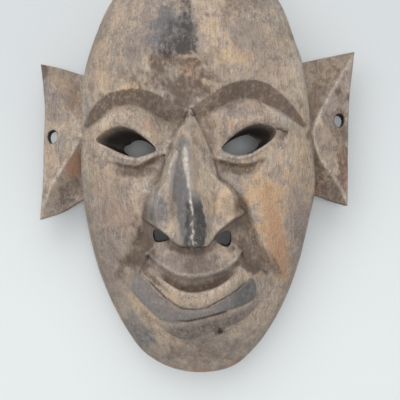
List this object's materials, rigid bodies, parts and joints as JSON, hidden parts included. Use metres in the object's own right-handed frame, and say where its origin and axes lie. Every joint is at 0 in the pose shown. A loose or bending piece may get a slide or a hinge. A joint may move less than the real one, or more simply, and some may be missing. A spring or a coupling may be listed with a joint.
{
  "type": "tribal mask",
  "caption": "Carved wooden face mask, hollow behind, with pierced eyes and nostrils, a wedge nose, a curved mouth and square faceted ears with cord holes.",
  "frame": {"origin": "centre of the bounding box in plan, at the height of the table that the back rim lies on", "axes": "+X across the face, +Y from the chin towards the crown, +Z out of the face, away from the table"},
  "size_m": [0.192, 0.267, 0.0995],
  "materials": {
    "wood": "dry worn wood with a dark patina, polished dark on the nose ridge and the mouth"
  },
  "bodies": {
    "root": {"mask": "wood"}
  },
  "joints": []
}
